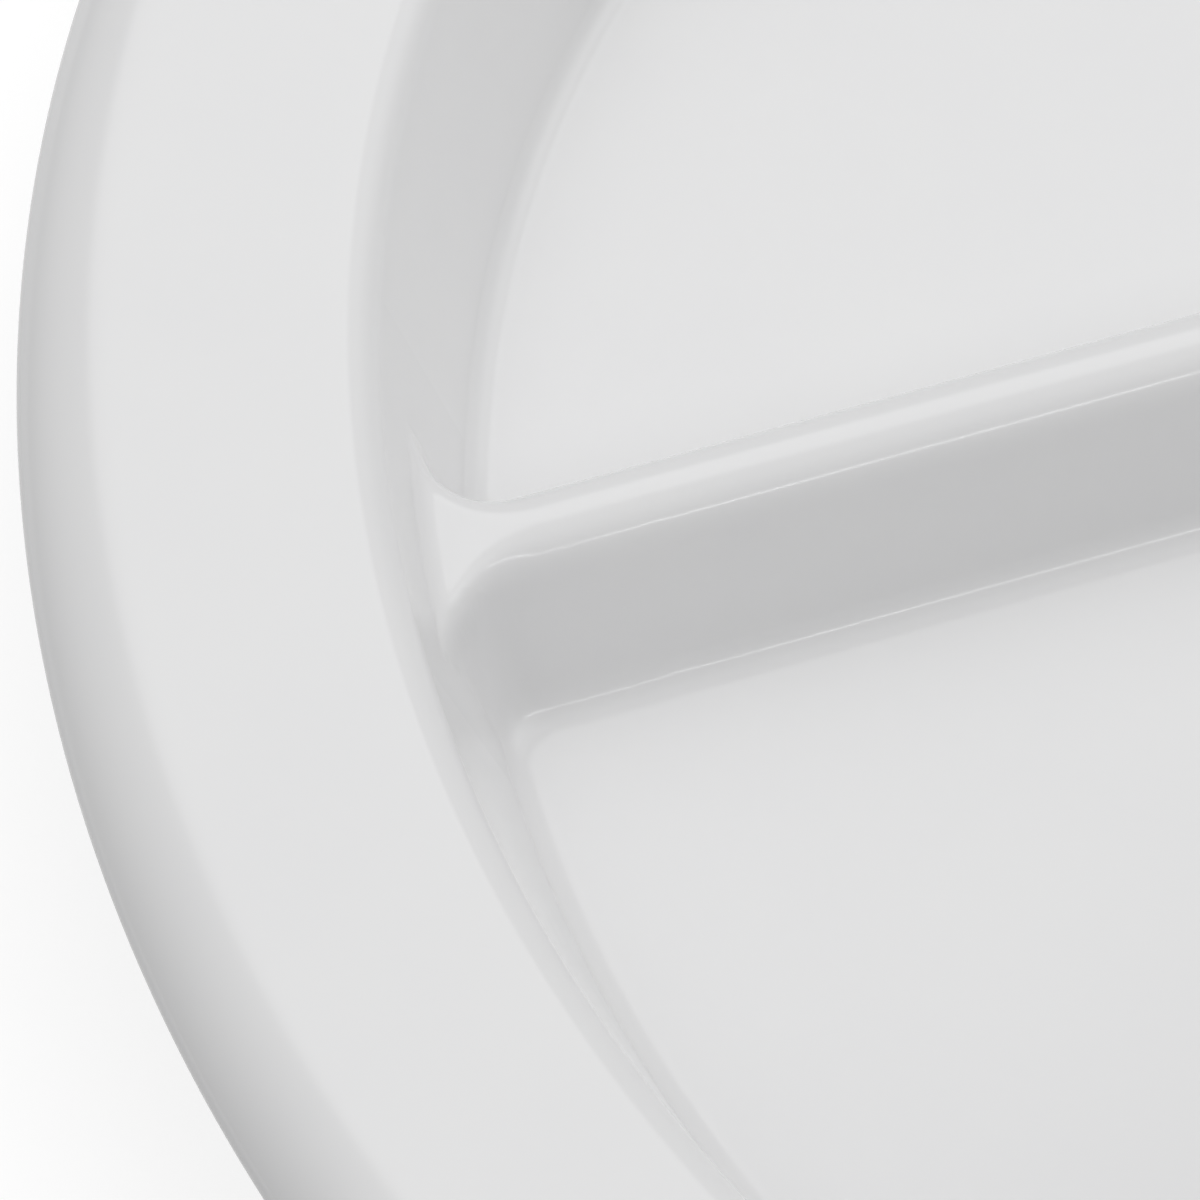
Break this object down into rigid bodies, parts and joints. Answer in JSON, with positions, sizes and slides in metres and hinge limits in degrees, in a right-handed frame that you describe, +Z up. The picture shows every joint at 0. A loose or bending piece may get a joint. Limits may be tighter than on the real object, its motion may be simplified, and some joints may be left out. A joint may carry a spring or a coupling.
{
  "type": "divided compartment plate",
  "caption": "Round moulded plate with a rolled rim, a deep well cut into compartments by raised dividers, and a foot ring underneath.",
  "frame": {"origin": "on the plate's axis, at the level of the foot ring's land that it stands on", "axes": "+Z up along the plate's axis; +X along the long divider; the large compartment on the -Y side and the two small ones on the +Y side"},
  "size_m": [0.26, 0.26, 0.0291],
  "materials": {
    "melamine": "glossy compression-moulded white melamine",
    "melamine_foot": "the same melamine, dulled by standing and stacking"
  },
  "bodies": {
    "root": {"rim_edge": "melamine", "rim": "melamine", "main_wall": "melamine", "left_wall": "melamine", "right_wall": "melamine", "main_floor": "melamine", "left_floor": "melamine", "right_floor": "melamine", "left_divider": "melamine", "right_divider": "melamine", "back_divider": "melamine", "divider_hub": "melamine", "foot_ring": "melamine_foot"}
  },
  "joints": []
}
